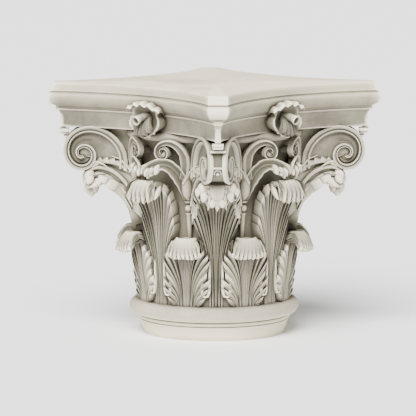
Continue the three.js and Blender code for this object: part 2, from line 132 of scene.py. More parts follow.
def carve(points, faces, sides=NO_TRIANGLES, at_corner=True, mirror=False):
    """Keeps a shell and its copies at the four corners or the four sides, and on both sides of each."""
    points = points.reshape(-1, 3)
    first = 0.5 if at_corner else 0
    for flip in [1, -1] if mirror else [1]:
        for quarter in range(4):
            turn = (quarter + first) * QUARTER
            x, y, z = points[:, 0], points[:, 1] * flip, points[:, 2]
            placed = np.stack([x * math.cos(turn) - y * math.sin(turn),
                               x * math.sin(turn) + y * math.cos(turn), z], axis=-1)
            shells.append((placed, *outward(placed, faces, sides)))


def closed_ends(points):
    """A tube's rings with each end ring drawn together to its middle, which closes the tube."""
    first = np.broadcast_to(points[:1].mean(axis=1, keepdims=True), points[:1].shape)
    last = np.broadcast_to(points[-1:].mean(axis=1, keepdims=True), points[-1:].shape)
    return np.concatenate([first, points, last])


def carried(path, facing, section):
    """A closed section carried along a path: each point is the path's, plus its first number across the
    path and its second up from it, towards facing."""
    way = np.gradient(path, axis=0)
    way /= np.linalg.norm(way, axis=1, keepdims=True)
    across = np.cross(way, facing)
    across /= np.linalg.norm(across, axis=1, keepdims=True)
    up = np.cross(across, way)
    return path[:, None] + across[:, None] * section[..., :1] + up[:, None] * section[..., 1:]


def tube(points, **copies):
    """Closes rings of points at both ends and keeps them as a shell."""
    rings = closed_ends(points)
    carve(rings, cells(*rings.shape[:2], closed=True), **copies)


def rod(places, radii, sides=8, steps=3):
    """Round rings along a smooth line through the places, with the radius read along the line: each ring
    is its middle plus radius times (cosine, sine) of the turn, across the line."""
    share = np.linspace(0, 1, steps * len(places))
    middle, way = along(curve(places), share)
    size = np.interp(share, np.linspace(0, 1, len(radii)), radii)
    turn = np.linspace(0, 2 * math.pi, sides, endpoint=False)
    section = size[:, None, None] * np.stack([np.cos(turn), np.sin(turn)], axis=-1)[None]
    runs_outward = np.abs(way[:, :1]) > 0.9
    facing = np.where(runs_outward, [[0.0, 1.0, 0.0]], [[1.0, 0.0, 0.0]])
    return carried(middle, facing, section)


# Share of the full radius at even steps along a knob
ROUND_ENDS = np.array([0.25, 0.75, 1, 1, 0.75, 0.25])


def knob(start, end, radius):
    """A plump finger with round ends: rings on the straight line from start to end."""
    t = np.linspace(0, 1, len(ROUND_ENDS))[:, None]
    return rod(np.array(start, float) * (1 - t) + np.array(end, float) * t, radius * ROUND_ENDS, steps=1)


def block(near, far, low_half, high_half, low, high):
    """A small block from near to far on the diagonal; its half width goes from low_half to high_half."""
    rings = [[(x, y * half, z) for x, y in ((near, -1), (far, -1), (far, 1), (near, 1))]
             for half, z in ((low_half, low), (high_half, high))]
    return np.array(rings, float)


def boss(stations):
    """A lump from near to far and half wide at each height. Its section is a circle whose cosine and sine
    are raised to the power 0.6, which fills out its corners."""
    near, far, half, z = (column[:, None] for column in np.array(stations, float).T)
    turn = np.linspace(0, 2 * math.pi, 16, endpoint=False)[None]
    forward, across = (np.sign(wave) * np.abs(wave) ** 0.6 for wave in (np.cos(turn), np.sin(turn)))
    x = (near + far) / 2 + (far - near) / 2 * forward
    return np.stack(np.broadcast_arrays(x, half * across, z), axis=-1)


print("helpers ready; a knob has", knob((0, 0, 0), (0, 0, 1), 1).shape[:2], "points")

# %% [markdown]
# ## Collar, astragal and bell
#
# These are turned forms: on a stone capital they are cut with a template on a turntable. A modifier could
# spin a drawn profile, but here the profile of radius and height is a list that is carried once round the
# axis, so every size in it can be read. Only the lip of the bell and a little of its wall show between
# the leaves.

# %% Turn the core
FOOT_RADIUS = 136
COLLAR_TOP_RADIUS = 147
COLLAR_HEIGHT = 37
COLLAR_STEP_HEIGHT = 28
ASTRAGAL_HEIGHT = 30
ASTRAGAL_RADIUS = 164
ABACUS_HEIGHT = 86
BELL_RADIUS = 137
LIP_RADIUS = 172
LIP_HEIGHT = 17
TURNED_STEPS = 108

bell_top = HEIGHT - ABACUS_HEIGHT
leaf_foot = COLLAR_HEIGHT + ASTRAGAL_HEIGHT
bell_height = bell_top - leaf_foot


def turned_core():
    """Radius and height of each ring from the foot up, carried round the axis."""
    foot, step = FOOT_RADIUS, COLLAR_STEP_HEIGHT
    collar = [(0, 0), (foot - 1.5, 0), (foot, 1), (foot + 4, 13), (foot + 8, step - 1.6),
              (foot + 7.2, step - 0.6), (foot + 7.4, step + 0.2), (foot + 10.8, step + 1.4),
              (foot + 11.4, step + 3), (COLLAR_TOP_RADIUS + 1, COLLAR_HEIGHT - 2),
              (COLLAR_TOP_RADIUS + 0.2, COLLAR_HEIGHT - 0.6)]
    turn = np.linspace(-QUARTER, QUARTER * 0.92, 14)
    back = COLLAR_TOP_RADIUS + 1
    bulge = ASTRAGAL_RADIUS - back
    middle = COLLAR_HEIGHT + ASTRAGAL_HEIGHT / 2
    astragal = [(back + bulge * math.cos(a), middle + ASTRAGAL_HEIGHT / 2 * math.sin(a)) for a in turn]
    lip = bell_top - LIP_HEIGHT
    bell = [(BELL_RADIUS + 6, leaf_foot), (BELL_RADIUS + 5, leaf_foot + 45), (BELL_RADIUS, 190),
            (BELL_RADIUS, 250), (BELL_RADIUS + 5, 310),
            (BELL_RADIUS + 13, lip - 20), (LIP_RADIUS - 10, lip - 5), (LIP_RADIUS - 8, lip - 1),
            (LIP_RADIUS - 2, lip + 1), (LIP_RADIUS, lip + 5), (LIP_RADIUS, lip + 11),
            (LIP_RADIUS - 3, lip + 16), (LIP_RADIUS - 8, bell_top + 2), (0, bell_top + 2)]
    profile = np.array(collar + astragal + bell)
    azimuth = np.linspace(0, 2 * math.pi, TURNED_STEPS, endpoint=False)
    points = polar(profile[:, :1], azimuth[None], profile[:, 1:])
    return points.reshape(-1, 3), cells(len(profile), TURNED_STEPS, closed=True)


core_points, core_faces = turned_core()
shells.append((core_points, *outward(core_points, core_faces, NO_TRIANGLES)))
print("core", len(core_faces), "faces")

# %% [markdown]
# ## Abacus
#
# The slab on top has four sides hollowed to one circle each and four cut corners. A mason cuts its band,
# ovolo, fillet and hollow neck with one template all round. Sweeping a profile along a path would turn it
# at the corners, so here its mouldings are a list of heights with how far the sides and the cut corners
# stand out there, and one outline function carries the whole list round.

# %% Carry the mouldings round the abacus
CORNER_REACH = 309
HORN_WIDTH = 37
SIDE_REACH = 179
SIDE_STEPS = 16

corner_along = (CORNER_REACH - HORN_WIDTH / 2) / math.sqrt(2)
corner_across = (CORNER_REACH + HORN_WIDTH / 2) / math.sqrt(2)
hollow = corner_across - SIDE_REACH
side_radius = (corner_along**2 + hollow**2) / (2 * hollow)
side_centre = SIDE_REACH + side_radius

# Height, how far the sides stand out, and how far the cut corners do
ABACUS_PROFILE = [
    (485, -1.4, -1.4), (484.6, -0.4, -0.4), (483.4, 0, 0), (476, 0.9, 3.2), (469.4, 1.8, 6.6),
    (468, 0.9, 5.8), (467, 0.2, 5.2), (466, 0.5, 5.6), (465, 2, 7.4), (463, 3.4, 9.6),
    (459, 4, 11.4), (455, 3.7, 12),
    (451, 2.6, 11.2), (447, 0.8, 9), (444, -1.4, 5.6), (441.6, -3.6, 1), (440, -5, -3), (439.5, -9, -4.6),
    (438.6, -9.4, -5), (435.4, -10, -5), (434.9, -10.9, -5.4), (434.2, -10.2, -5), (431, -11.5, -5),
    (430.4, -13.5, -9), (426, -15.2, -11.6), (421, -16.8, -14), (415, -17.8, -15.5), (409, -17.9, -15.6),
    (404, -17.1, -14.6), (401, -16.2, -13.4), (399.4, -16.2, -13.2), (398.6, -19, -16),
]


def abacus_ring(side_out, corner_out, z):
    """The plan outline at one height: x = centre - root(radius squared - y squared) along each side, and
    straight across each cut corner. The steps in y crowd towards the corners."""
    radius = side_radius - side_out
    reach = CORNER_REACH + corner_out
    half = side_centre / math.sqrt(2) - math.sqrt(radius**2 - (side_centre / math.sqrt(2) - reach) ** 2)
    end = (reach - half) / math.sqrt(2)
    step = np.linspace(-1, 1, SIDE_STEPS)
    y = end * (3 * step - step**3) / 2
    x = side_centre - np.sqrt(radius**2 - y**2)
    turns = np.arange(4)[:, None] * QUARTER
    ring = [x * np.cos(turns) - y * np.sin(turns), x * np.sin(turns) + y * np.cos(turns)]
    return np.stack([*ring, np.full_like(ring[0], z)], axis=-1).reshape(-1, 3)


rings = np.stack([abacus_ring(side, corner, z) for z, side, corner in ABACUS_PROFILE])
slab = closed_ends(rings)
slab_points, slab_faces = slab.reshape(-1, 3), cells(*slab.shape[:2], closed=True)
shells.append((slab_points, *outward(slab_points, slab_faces, NO_TRIANGLES)))
print("abacus", slab.shape[0], "rings of", slab.shape[1])

# %% [markdown]
# ## Acanthus leaves
#
# A carver lays out an acanthus leaf as lobes of fingers. Each finger has a vein that rises beside the
# midrib and swings out to its tip, so the whole leaf is a fan of veins. A flat cut-out bent by a modifier
# would stretch at the rolled crown, and carving by brush can't be changed later. So here one parameter
# picks the vein and the other runs along it. The outline is drawn from finger tip to notch to finger tip,
# the relief rounds each lobe and each finger, and the leaf is wrapped round the bell and bent along a
# spine that leans out and rolls over.

# %% Leaf function
LEAF_RELIEF = 12
LEAF_THICKNESS = 7
LOBE_RELIEF = 5.4
FINGER_RELIEF = 5
STEM_RELIEF = 1.5
FRINGE_RELIEF = 3.2
MIDRIB_RELIEF = 1.6
EYE_DEPTH = 12
RIM_LIFT = 5
ROOT_DEPTH = 7
VEIN_SWING = 2.4
COLUMN_SHARES = np.array([-1, -0.62, 0, 0.62])


def finger_outline(fingers, lobe_ends):
    """Across and along shares of the outline at every column, with its place in its finger and its lobe.
    A finger runs from its tip to the notch beside it as tip * (1 - blend) + notch * blend, where blend is
    the distance from the finger's middle raised to the power 1.8."""
    tips = np.array(fingers, float)
    across = np.concatenate([-tips[:0:-1, 0], tips[:, 0]])
    reach = np.concatenate([tips[:0:-1, 1], tips[:, 1]])
    cut = np.concatenate([tips[:0:-1, 2], tips[:, 2]])
    count = len(across)
    half = len(tips) - 1
    side_cut = np.concatenate([cut[:half], cut[half + 1:]])
    inner_across = (across[:-1] + across[1:]) / 2 * (1 - 0.8 * side_cut)
    inner_reach = np.minimum(reach[:-1], reach[1:]) * (1 - side_cut)
    notch_across = np.concatenate([across[:1] * 0.9, inner_across, across[-1:] * 0.9])
    notch_reach = np.concatenate([reach[:1] * 0.92, inner_reach, reach[-1:] * 0.92])
    index = np.repeat(np.arange(count), len(COLUMN_SHARES))
    u = np.tile(COLUMN_SHARES, count)
    index = np.append(index, count - 1)
    u = np.append(u, 1.0)
    side = index + (u > 0)
    blend = np.abs(u) ** 1.8
    x = across[index] * (1 - blend) + notch_across[side] * blend
    y = reach[index] * (1 - blend) + notch_reach[side] * blend
    place = index + u / 2 - half
    ends = np.array(lobe_ends, float) + 0.5
    lobe = np.searchsorted(ends, np.abs(place) - 1e-6)
    starts = np.concatenate([[-ends[0]], ends[:-1]])
    within = 2 * (np.abs(place) - starts[lobe]) / (ends[lobe] - starts[lobe]) - 1
    uncut = np.where(lobe == 0, np.interp(index + u / 2, np.arange(count), reach), y)
    return x, y, uncut, u, within, lobe, place / (half + 0.5)


def closed_strip(t, columns, front_rows):
    """Faces of a sheet that runs up its front and down its back: the last row joins the first, and along
    each side the front's points are zipped to the back's by their share t of the way to the tip."""
    rows = len(t)
    index = np.arange(rows * columns).reshape(rows, columns)
    faces = index.T.reshape(-1)[cells(columns, rows, closed=True)]
    front, back = np.arange(front_rows), np.arange(rows - 1, front_rows - 1, -1)
    front_middle, back_middle = ((t[way][:-1] + t[way][1:]) / 2 for way in (front, back))
    opposite_front = back[np.searchsorted(back_middle, front_middle)]
    opposite_back = front[np.searchsorted(front_middle, back_middle, side="right")]
    side = np.concatenate([np.stack([front[:-1], front[1:], opposite_front], -1),
                           np.stack([back[1:], back[:-1], opposite_back], -1)])
    return faces, np.concatenate([index[side, 0][:, ::-1], index[side, columns - 1]])


def leaf(azimuth, spine, fingers, lobe_ends, half_width, foot_half_width, droop, dome, rows, back_rows,
         lean=0.0, fringe_from=0.9):
    """A fan of veins wrapped round the bell. At the share t of its length a vein stands across at foot +
    (outline - foot) * t to the power VEIN_SWING, and up at outline * t of the spine. The points are moved
    off the spine by half the thickness and the relief."""
    x, y, uncut, u, within, lobe, share = finger_outline(fingers, lobe_ends)
    line = curve(spine)
    front = np.linspace(0, 1, rows) ** 0.9
    back = np.append(1 - 0.4 * np.linspace(0, 1, back_rows) ** 1.4, 0)
    t = np.concatenate([front, back])[:, None]
    is_back = np.concatenate([np.zeros(rows), np.ones(len(back))])[:, None]
    rise = (uncut + (y - uncut) * ease(t, 0.86, 1)) * t
    foot = foot_half_width * share[None]
    across = foot + (half_width * x[None] - foot) * t**VEIN_SWING
    at, way = along(line, rise)
    crown = np.clip((rise - 0.55) / 0.3, 0, 1)
    lobe_round = np.sqrt(np.clip(1 - within[None] ** 2, 0, 1)) - 0.55
    finger_round = np.sqrt(np.clip(1 - u[None] ** 2, 0, 1)) - 0.5
    tips = ease(t, 0.35, 0.9)
    eye = ease(np.abs(within[None]), 0.75, 1) * ease(t, 0.7, 0.95) * (np.abs(share[None]) < 0.97)
    fingers_up = STEM_RELIEF + (FINGER_RELIEF - STEM_RELIEF) * tips
    relief = LOBE_RELIEF * lobe_round * (1 - 0.4 * tips) + fingers_up * finger_round
    relief += RIM_LIFT * tips * np.abs(share[None]) * (lobe[None] > 0) - EYE_DEPTH * eye
    fringe = ease(t, fringe_from, fringe_from + 0.07) * FRINGE_RELIEF * (finger_round + 0.5)
    domed = dome * (1 - np.abs(share[None] * 2.2) ** 2) + fringe
    top_relief = np.where(lobe[None] == 0, domed, relief * tips)
    root = ROOT_DEPTH * (1 - ease(rise, 0.1, 0.5))
    edge = 0.25 + 0.75 * (1 - ease(t, 0.93, 1.0))
    rib = np.exp(-((share[None] / 0.035) ** 2)) * (1 - ease(t, 0.75, 0.95))
    outer = LEAF_THICKNESS / 2 * edge + relief + MIDRIB_RELIEF * rib - root
    inner = -LEAF_THICKNESS / 2 * edge - (1 - crown) * 1.5 * LEAF_RELIEF - top_relief * crown
    depth = np.where(is_back > 0, inner, outer)
    radius = at[..., 0] + way[..., 1] * depth
    height = at[..., 1] - way[..., 0] * depth - droop * crown * (across / half_width) ** 2
    turn = azimuth + lean * rise**2 + across / at[..., 0]
    points = polar(radius, turn, height)
    return points, *closed_strip(t[:, 0], len(x), rows)


# %% [markdown]
# The lower ring has eight leaves, at the middle of each eighth of the turn. Their crowns roll out into
# a smooth dome with a fringe of rounded scallops, and lean a little towards the corner. One leaf is made
# and copied, as a moulder would, because all eight are alike; its fingers are a table that can be read.

# %% Lower ring
LOWER_HALF_WIDTH = 48
LOWER_FOOT_HALF_WIDTH = 20
LOWER_TIP_REACH = 52
LOWER_TIP_LEAN = 12
LOWER_ROWS = 14
leaf_face = BELL_RADIUS + LEAF_RELIEF
lower_height = bell_height * 0.385

# Each finger: share of the half width, share of the length, and how deep the notch beyond it is cut
LOWER_FINGERS = [
    (0, 1, 0.035), (0.18, 1, 0.035), (0.35, 0.99, 0.035), (0.51, 0.965, 0.035), (0.65, 0.93, 0.04),
    (0.75, 0.88, 0.2),
    (0.70, 0.70, 0.05), (0.88, 0.64, 0.07), (0.97, 0.55, 0.10), (0.92, 0.46, 0.30),
    (0.84, 0.42, 0.07), (1.0, 0.34, 0.10), (1.0, 0.24, 0.14), (0.84, 0.13, 0.3), (0.55, 0.04, 0.1),
]


def spine_points(shares, reach, length, start):
    """Radius and height of a spine's knots from their shares of its reach and length."""
    return [(start + reach * out, leaf_foot + length * rise) for out, rise in shares]


lower_spine = spine_points(
    [(0, -4 / lower_height), (0.02, 0.35), (0.06, 0.66), (0.18, 0.85), (0.38, 0.98), (0.62, 0.99),
     (0.86, 0.92), (0.97, 0.83), (0.96, 0.77)],
    LOWER_TIP_REACH - LEAF_RELIEF, lower_height, leaf_face)
tip_lean = LOWER_TIP_LEAN / (BELL_RADIUS + LOWER_TIP_REACH)
lower_leaf = leaf(QUARTER / 4, lower_spine, LOWER_FINGERS, [5, 9, 14], LOWER_HALF_WIDTH,
                  LOWER_FOOT_HALF_WIDTH, droop=22, dome=5, rows=LOWER_ROWS, back_rows=8, lean=-tip_lean,
                  fringe_from=0.945)
carve(*lower_leaf, mirror=True)
print("lower leaf", len(lower_leaf[1]), "faces")

# %% [markdown]
# The upper ring has a leaf under each flower and one under each corner volute. The corner leaves reach
# further out, and end in fat bulbs that hang from the rolled tip. Scaling one leaf to fit both places
# would thin its flutes, so each has its own fingers and spine, and the same function carves both.

# %% Upper ring
UPPER_HALF_WIDTH = 43
UPPER_FOOT_HALF_WIDTH = 13.5
FACE_TIP_REACH = 67
UPPER_ROWS = 19
CROWN_SETBACK = 10
VOLUTE_REACH = 289
VOLUTE_RADIUS = 34.5
upper_height = bell_height * 0.725
volute_u = VOLUTE_REACH - VOLUTE_RADIUS
volute_z = bell_top + 1 - 1.53 * VOLUTE_RADIUS
corner_height = volute_z - 0.94 * VOLUTE_RADIUS - 8 - leaf_foot

CORNER_FINGERS = [
    (0, 1, 0.05), (0.40, 0.985, 0.06), (0.80, 0.92, 0.13),
    (0.86, 0.83, 0.05), (1.0, 0.775, 0.06), (1.02, 0.71, 0.07), (0.93, 0.655, 0.14),
    (0.95, 0.60, 0.06), (0.98, 0.545, 0.07), (0.88, 0.49, 0.08), (0.72, 0.45, 0.08),
]
FACE_FINGERS = [
    (0, 1, 0.03), (0.29, 1, 0.03), (0.57, 0.985, 0.03), (0.85, 0.955, 0.13),
    (0.84, 0.83, 0.05), (1.0, 0.775, 0.06), (1.02, 0.71, 0.07), (0.93, 0.655, 0.14),
    (0.95, 0.60, 0.06), (0.98, 0.545, 0.07), (0.88, 0.49, 0.08), (0.72, 0.45, 0.08),
]
corner_spine = spine_points(
    [(0, -4 / corner_height), (0.01, 0.51), (0.05, 0.64), (0.13, 0.76), (0.30, 0.86), (0.53, 0.93),
     (0.73, 0.985), (0.90, 1), (0.985, 0.95), (0.98, 0.885), (0.86, 0.83)],
    volute_u - leaf_face - CROWN_SETBACK, corner_height, leaf_face)
face_spine = spine_points(
    [(0, -4 / upper_height), (0.02, 0.5), (0.10, 0.70), (0.22, 0.82), (0.40, 0.93), (0.62, 0.985),
     (0.84, 0.98), (0.98, 0.92), (1, 0.87), (0.95, 0.84)],
    FACE_TIP_REACH - LEAF_RELIEF, upper_height, leaf_face)
corner_leaf = leaf(0, corner_spine, CORNER_FINGERS, [2, 6, 10], UPPER_HALF_WIDTH, UPPER_FOOT_HALF_WIDTH,
                   droop=6, dome=3, rows=UPPER_ROWS, back_rows=9)
face_leaf = leaf(0, face_spine, FACE_FINGERS, [3, 7, 11], UPPER_HALF_WIDTH, UPPER_FOOT_HALF_WIDTH,
                 droop=8, dome=3, rows=UPPER_ROWS, back_rows=10)
carve(*corner_leaf)
carve(*face_leaf, at_corner=False)
print("upper leaf", len(corner_leaf[1]), "faces")

# %% [markdown]
# The outermost flute of every upper stem turns round at its foot and runs up again into the lowest lobe
# of the leaf beside it, which makes a hook. It could be cut into the leaf's grid, but a thin rod laid on
# the bell along a list of places keeps its turn round and even.

# %% Hooks at the feet of the stems
HOOK = [(4.2, 212), (4.5, 165), (4.8, 125), (5.0, 99), (6.8, 86.5), (9.2, 89), (10.2, 101), (9.4, 113)]
HOOK_REACH = 149.5
HOOK_RADII = [1.2, 2.4, 2.8, 3, 3.2, 3.6, 4.4]
hook_azimuth, hook_z = np.array(HOOK).T
hook = rod(polar(HOOK_REACH, hook_azimuth * DEGREE, hook_z), HOOK_RADII, sides=6)
tube(hook, mirror=True)
tube(hook, mirror=True, at_corner=False)
print("hook of", len(hook), "rings")

# %% [markdown]
# The rim of every crown is rolled into plump fingers. The carver leaves a knob over each finger of the
# rim; on the corner leaves they are larger and hang in two rows round a middle petal. Finer leaf grids
# could swell there by themselves, but knobs set on the grid's own points take far fewer triangles.

# %% Rolled rims
LOWER_KNOB = 4.6
FACE_KNOB = 7.6
RIM_BULB = 9.5
CORNER_BULBS = [(25, 291, 11), (9.5, 280, 10.5), (28, 305, 10), (36, 298, 8), (15, 300, 8)]
BULB_REACH = 246
MIDDLE_PETAL = [(236, 246, 4, 281), (238, 251, 9, 284), (240, 254, 12, 290), (240, 255, 14, 298),
                (240, 253, 14.5, 307), (238, 250, 14, 313), (238, 246, 12, 315)]


def rolled_rim(grid, rows, fingers, back_row, radius, **copies):
    """A knob over each finger of a leaf's crown, from a row on its back to the row at its rim."""
    middle = len(grid[0]) // 2
    for finger in range(-fingers, fingers + 1):
        column = middle + 4 * finger
        tube(knob(grid[rows + back_row, column], grid[rows - 1, column], radius), **copies)


rolled_rim(lower_leaf[0], LOWER_ROWS, 4, 1, LOWER_KNOB, mirror=True)
rolled_rim(face_leaf[0], UPPER_ROWS, 3, 4, FACE_KNOB, at_corner=False)
rolled_rim(corner_leaf[0], UPPER_ROWS, 2, 4, RIM_BULB)
for across, z, radius in CORNER_BULBS:
    top = (BULB_REACH - 0.1 * across - 9, across * 0.82, z + 1.2 * radius)
    foot = (BULB_REACH - 0.1 * across + 2, across * 1.05, z - 0.9 * radius)
    tube(knob(top, foot, radius), mirror=True)
tube(boss(MIDDLE_PETAL))
print("bulbs at reach", BULB_REACH)

# %% [markdown]
# ## Corner volutes
#
# A horn under each corner is a block between two flaring faces. On each face a ribbon winds in to the
# eye: a thick outer roll, a groove and a thin inner roll. A bevelled curve could draw it, but its section
# would turn with the curve. Here the spiral is a list of turns and radii, and each point of the ribbon's
# section is drawn in towards the eye by its share of the width, so it lies flat on the face.

# %% Volute ribbons and horn
VOLUTE_TIP_HALF_WIDTH = 17.5
VOLUTE_FLARE = 0.26
FIELD_DEPTH = 6
VOLUTE_SPIRAL = [
    (-500, 0.14), (-450, 0.24), (-360, 0.36), (-270, 0.53), (-225, 0.68), (-180, 0.78), (-135, 0.87),
    (-90, 0.94), (-45, 0.95), (0, 1), (50, 1.22), (90, 1.52), (112, 1.68), (155, 2.15), (200, 2.85),
]


def spiral(turns, table, unit, inset=0.0):
    """Across and up on a spiral: radius * (cosine, sine) of the turn, with the radius read from the table
    of degrees and shares, evened over seven neighbours, less an inset."""
    degrees, shares = np.array(table).T
    line = np.interp(turns, degrees, shares) * unit
    smooth_line = np.convolve(np.pad(line, 3, mode="edge"), np.ones(7) / 7, mode="valid")
    radius = smooth_line - inset
    return radius * np.cos(turns * DEGREE), radius * np.sin(turns * DEGREE)


def horn_point(across, up, inward, side):
    """A place on the face of a horn: the half width grows by the flare from the tip inwards."""
    u = volute_u + across
    half = VOLUTE_TIP_HALF_WIDTH + VOLUTE_FLARE * (VOLUTE_REACH - u) - inward
    return np.stack(np.broadcast_arrays(u, side * half, volute_z + up), axis=-1)


# Share of the ribbon's width from its outer edge, and depth behind the face of the horn
RIBBON_SECTION = [
    (0, 4.5), (0, 2), (0.04, 0.8), (0.14, 0), (0.3, 0), (0.44, 0.5), (0.54, 2), (0.6, 3.6), (0.68, 3),
    (0.78, 1.6), (0.88, 1.8), (0.97, 3.2), (1, 9), (0.3, 10),
]
# Degrees of turn, and the ribbon's width there
RIBBON_WIDTHS = [(-480, 5), (-300, 7), (-150, 10.5), (60, 12), (200, 17)]
RIBBON_TURNS = np.linspace(200, -480, 60)


def volute_ribbon():
    """The ribbon's section, in shares of a width that narrows to the eye, at each turn of the spiral."""
    width = np.interp(RIBBON_TURNS, *np.array(RIBBON_WIDTHS).T)
    shares, depths = np.array(RIBBON_SECTION).T
    inset = width[:, None] * shares[None]
    outer = spiral(RIBBON_TURNS, VOLUTE_SPIRAL, VOLUTE_RADIUS)
    length = np.hypot(*outer)
    keep = np.maximum(length[:, None] - inset, 0.2) / length[:, None]
    return horn_point(outer[0][:, None] * keep, outer[1][:, None] * keep, depths[None], 1)


# Shares of the way from the eye to the rim of the field, and how deep the flute is there
FIELD_FLUTES = [(0.3, 2), (0.46, 5), (0.6, 2), (0.74, 5), (0.87, 2)]
HORN_TURNS = np.linspace(200, -148, 34)
WEB_DEPTH = 17
FOLD_DEPTH = 10
root_u = BELL_RADIUS - 4 - volute_u

# Places across and up from the eye where the horn runs back into the bell
horn_neck = np.array([(-60, -17), (root_u, -52), (root_u, -34)])

# Reach and height of the two walls between a corner's faces, and of the leaf edges on them, from the top
# down, each with its half width, height and number of teeth
WEB = [(140, 290), (196, 335), (225, 360), (238, 400), (140, 402)]
LEAF_BODY = [(247, 298), (247, 312), (236, 322), (215, 333), (140, 333), (140, 225), (156, 240), (172, 262),
             (192, 279), (215, 290), (232, 294)]
FOLDS = [
    ([(236, 322), (222, 331), (203, 333), (183, 328), (163, 314)], 5.5, 8, 7),
    ([(248, 309), (238, 318), (221, 322), (200, 317), (181, 304), (165, 284), (156, 262)], 5.5, 7, 0),
    ([(247, 298), (238, 306), (222, 309), (203, 303), (186, 290), (170, 270), (158, 248)], 5, 6, 0),
    ([(243, 290), (234, 296), (220, 298), (204, 292), (188, 280), (172, 260), (160, 240)], 4.5, 5, 0),
]


def horn_block():
    """Rings from one face of the horn to the other, each the spiral's outer edge set in a little. The
    rings of the sunk field are the same edge drawn in to a share of its distance from the eye."""
    field = [(-1, FIELD_DEPTH + sink, 3.5, share) for share, sink in FIELD_FLUTES]
    rim = [(-1, FIELD_DEPTH, 3.5, 1), (-1, FIELD_DEPTH + 1, 5, 1), (-0.5, 0, 5.6, 1), (0, 0, 5.8, 1)]
    near = field + rim
    stations = near + [(-side, inward, inset, share) for side, inward, inset, share in near[-2::-1]]
    rings = []
    for side, inward, inset, share in stations:
        across, up = spiral(HORN_TURNS, VOLUTE_SPIRAL, VOLUTE_RADIUS, inset)
        across, up = np.append(across, horn_neck[:, 0]), np.append(up, horn_neck[:, 1])
        rings.append(horn_point(across * share, up * share, inward, side))
    return np.stack(rings)


def filling(outline, setback):
    """A wall between the two faces of a corner, set back from them, over an outline of reach and height."""
    across, up = (np.array(outline, float) - [volute_u, volute_z]).T
    return np.stack([horn_point(across, up, setback, side) for side in (-1, 1)])


def fold(knots, width, height, teeth):
    """A leaf edge on the side of a corner: a rounded ridge along a smooth line through the knots. Its
    upper side grows by 0.9 of its width over each tooth and then drops back."""
    t = np.linspace(0, 1, 5 * max(teeth, 3))
    flat, way = along(curve(np.array(knots, float) - [volute_u, volute_z]), t)
    normal = np.stack([way[:, 1], -way[:, 0]], axis=-1)
    normal *= np.sign(normal[:, 1:] + 1e-9)
    half = width * np.interp(t, [0, 0.12, 0.75, 1], [0.5, 1, 0.9, 0.3])
    saw = 1 + 0.9 * ((t * teeth) % 1) * (teeth > 0)
    share = np.array([-1, -0.85, -0.4, 0.1, 0.6, 0.9, 1, 0.5, -0.5])
    proud = height * np.array([0, 0.5, 0.95, 1, 0.85, 0.5, 0, -0.8, -0.8])
    reach = half[:, None] * share * np.where(share > 0, saw[:, None], 1)
    place = flat[:, None] + normal[:, None] * reach[..., None]
    return horn_point(place[..., 0], place[..., 1], FOLD_DEPTH - proud[None], 1)


tube(volute_ribbon(), mirror=True)
horn = closed_ends(horn_block())
horn[0] = horn_point(0, 0, FIELD_DEPTH, -1)
horn[-1] = horn_point(0, 0, FIELD_DEPTH, 1)
carve(horn, cells(*horn.shape[:2], closed=True))
tube(filling(WEB, WEB_DEPTH))
tube(filling(LEAF_BODY, FOLD_DEPTH))
for knots, half_width, ridge_height, teeth in FOLDS:
    tube(fold(knots, half_width, ridge_height, teeth), mirror=True)
print("volute at", round(volute_u, 1), round(volute_z, 1))

# %% [markdown]
# The front of each horn carries the end of the abacus: a fillet, a thin stem and a knob of two steps, and
# under them a framed panel and a bead between the two raised borders. These are a chisel's plain cuts, so
# plain blocks and rods stand for them, and nothing finer would show.

# %% Front of the horns
# Near and far reach, lower and upper half width, lower and upper height
FRONT_BLOCKS = [
    (288, 305, 8, 8.5, 430, 438),
    (286, 296, 5.4, 4, 396, 430),
    (280, 297, 9, 10.5, 384.5, 388),
    (280, 298, 10.5, 10.5, 389, 395),
    (276, 290, 14.5, 15, 377.5, 381.5),
]
PANEL_SIDE = [(279, 13, 376), (284.5, 12.4, 366), (286, 11.6, 357), (285, 10.8, 349)]
PANEL_FOOT = [(285, -12, 348.5), (285, 12, 348.5)]
BEAD_ARCH = [(280, -7, 336), (282, -5, 342), (283, 0, 344.5), (282, 5, 342), (280, 7, 336)]

for cut in FRONT_BLOCKS:
    tube(block(*cut))
tube(rod(PANEL_SIDE, [2, 2]), mirror=True)
tube(rod(PANEL_FOOT, [2.2, 2.2]))
tube(knob((281, 0, 334), (281, 0, 340), 3.8))
tube(rod(BEAD_ARCH, [1.4, 1.4]))
print("panel between heights", PANEL_SIDE[-1][2], "and", PANEL_SIDE[0][2])

# %% [markdown]
# ## Inner scrolls
#
# Two small scrolls meet under each flower. Each is a band with a rolled rim that leaves the calyx, rises
# under the lip of the bell and winds in on itself. Flat scrolls laid against the bell would stand off it
# at their ends, so the same spiral as the volutes' is wrapped round the axis instead.

# %% Helices
HELIX_RADIUS = 16
HELIX_AZIMUTH = 34
HELIX_REACH = 187
HELIX_SPIRAL = [
    (-420, 0.12), (-360, 0.25), (-270, 0.45), (-180, 0.85), (-90, 0.97), (0, 1), (85, 1.1), (126, 1.7),
    (157, 2.6), (180, 3.05), (205, 3.8), (220, 4.5), (236, 5.3),
]
HELIX_SECTION = [
    (0, 12), (0, 4), (0.03, 1.2), (0.14, 0), (0.30, 0.4), (0.42, 2.5), (0.55, 4.6), (0.7, 4.8), (0.84, 3.4),
    (0.93, 2.6), (1, 4), (1, 12),
]
HELIX_WIDTHS = [(-420, 3), (-200, 5.5), (-60, 7), (60, 8), (120, 13), (205, 24), (236, 16)]
HELIX_TURNS = np.linspace(236, -420, 42)
helix_z = bell_top - LIP_HEIGHT - 1.15 * HELIX_RADIUS


